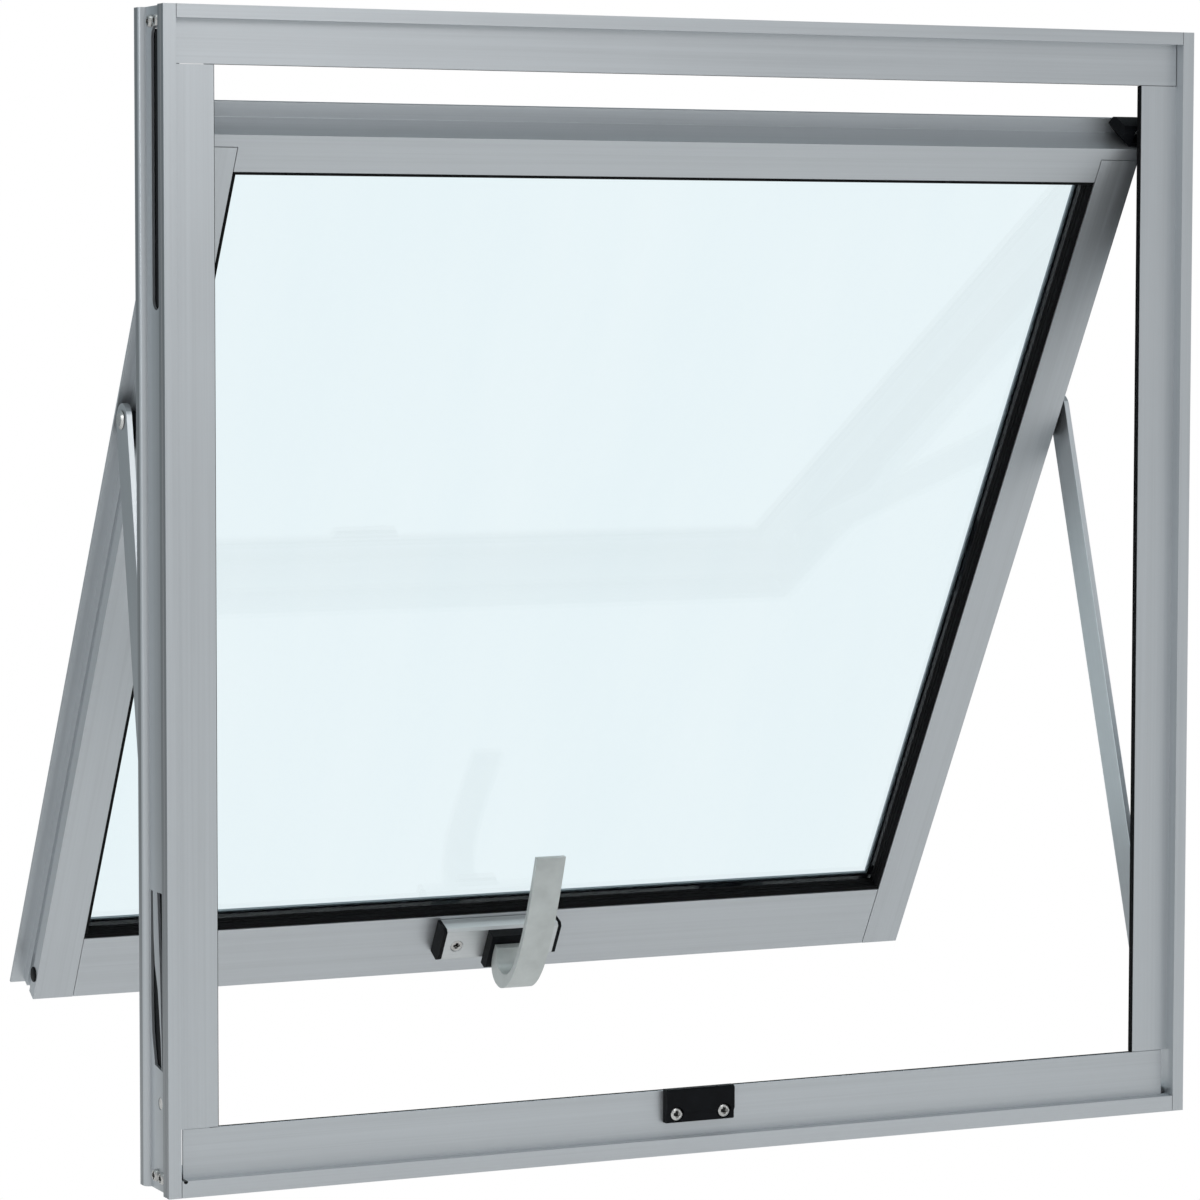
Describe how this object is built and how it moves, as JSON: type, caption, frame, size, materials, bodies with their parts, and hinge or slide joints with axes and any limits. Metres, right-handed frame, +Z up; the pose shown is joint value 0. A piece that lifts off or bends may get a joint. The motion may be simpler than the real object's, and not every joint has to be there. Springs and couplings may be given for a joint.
{
  "type": "projecting window",
  "caption": "Square aluminium window whose glazed sash slides down at the top and swings out at the bottom on two stay arms, with a J-shaped latch lever.",
  "frame": {"origin": "underside of the sill, middle of the width and of the frame depth", "axes": "+X along the width to the right seen from the room, +Y outdoors, +Z up"},
  "size_m": [0.6, 0.3128, 0.6],
  "materials": {
    "anodised_aluminium": "satin natural anodised, fine extrusion lines",
    "stay_metal": "mill-finish flat bar",
    "handle_aluminium": "matt grey anodised",
    "zinc_steel": "zinc plated",
    "seal_rubber": "matt black EPDM",
    "black_nylon": "moulded black nylon",
    "clear_glass": "clear float glass"
  },
  "bodies": {
    "frame": {"frame_jamb_left": "anodised_aluminium", "frame_jamb_right": "anodised_aluminium", "frame_head": "anodised_aluminium", "frame_sill": "anodised_aluminium", "frame_seal_left": "seal_rubber", "frame_seal_right": "seal_rubber", "frame_seal_head": "seal_rubber", "frame_seal_sill": "seal_rubber", "corner_screw_left_lower_front": "zinc_steel", "corner_screw_left_lower_back": "zinc_steel", "corner_screw_left_upper_front": "zinc_steel", "corner_screw_left_upper_back": "zinc_steel", "corner_screw_right_lower_front": "zinc_steel", "corner_screw_right_lower_back": "zinc_steel", "corner_screw_right_upper_front": "zinc_steel", "corner_screw_right_upper_back": "zinc_steel", "keeper_plate": "black_nylon", "keeper_screw_left": "zinc_steel", "keeper_screw_right": "zinc_steel", "frame_pivot_rivet_left": "zinc_steel", "frame_pivot_rivet_right": "zinc_steel", "jamb_liner_left": "black_nylon", "jamb_liner_right": "black_nylon"},
    "arm_left": {"stay_arm_left": "stay_metal"},
    "arm_right": {"stay_arm_right": "stay_metal"},
    "sash": {"sash_stile_left": "anodised_aluminium", "sash_stile_right": "anodised_aluminium", "sash_top_rail": "anodised_aluminium", "sash_bottom_rail": "anodised_aluminium", "glass_pane": "clear_glass", "glazing_gasket_top": "seal_rubber", "glazing_gasket_bottom": "seal_rubber", "glazing_gasket_left": "seal_rubber", "glazing_gasket_right": "seal_rubber", "outdoor_gasket_top": "seal_rubber", "outdoor_gasket_bottom": "seal_rubber", "outdoor_gasket_left": "seal_rubber", "outdoor_gasket_right": "seal_rubber", "top_pivot_block_left": "black_nylon", "top_pivot_block_right": "black_nylon", "top_pivot_pin_left": "zinc_steel", "top_pivot_pin_right": "zinc_steel", "stay_packer_left": "black_nylon", "stay_packer_right": "black_nylon", "stay_rivet_left": "zinc_steel", "stay_rivet_right": "zinc_steel", "stile_plug_left": "black_nylon", "stile_plug_right": "black_nylon", "handle_base": "handle_aluminium", "handle_end_cap_left": "black_nylon", "handle_end_cap_right": "black_nylon", "handle_screw_left": "zinc_steel", "handle_screw_right": "zinc_steel", "latch_block": "black_nylon"},
    "shoe_left": {"slider_shoe_left": "black_nylon"},
    "shoe_right": {"slider_shoe_right": "black_nylon"},
    "lever": {"handle_lever": "handle_aluminium", "lever_spindle": "zinc_steel", "latch_tongue": "zinc_steel"}
  },
  "joints": [
    {"name": "arm_right_swing", "type": "hinge", "parent": "frame", "child": "arm_right", "pos_m": [0.2923, 0, 0.045], "axis": [1, 0, 0], "range_deg": [-3.7, 14.8]},
    {"name": "sash_swing", "type": "hinge", "parent": "arm_right", "child": "sash", "pos_m": [0.2829, 0.09052, 0.39013], "axis": [1, 0, 0], "range_deg": [-44.8, 11]},
    {"name": "arm_left_swing", "type": "hinge", "parent": "frame", "child": "arm_left", "pos_m": [-0.2923, 0, 0.045], "axis": [1, 0, 0], "range_deg": [-3.7, 14.8]},
    {"name": "shoe_right_tilt", "type": "hinge", "parent": "sash", "child": "shoe_right", "pos_m": [0.29, 0, 0.54629], "axis": [1, 0, 0], "range_deg": [-7.5, 30.2]},
    {"name": "shoe_left_tilt", "type": "hinge", "parent": "sash", "child": "shoe_left", "pos_m": [-0.29, 0, 0.54629], "axis": [1, 0, 0], "range_deg": [-7.5, 30.2]},
    {"name": "lever_turn", "type": "hinge", "parent": "sash", "child": "lever", "pos_m": [0.002, 0.24089, 0.07251], "axis": [0, 0.8652, 0.5015], "range_deg": [0, 90]}
  ],
  "couplings": [
    {"joint": "arm_right_swing", "follows": "sash_swing", "ratio": -0.32808},
    {"joint": "arm_left_swing", "follows": "sash_swing", "ratio": -0.32808},
    {"joint": "shoe_right_tilt", "follows": "sash_swing", "ratio": -0.67192},
    {"joint": "shoe_left_tilt", "follows": "sash_swing", "ratio": -0.67192}
  ]
}
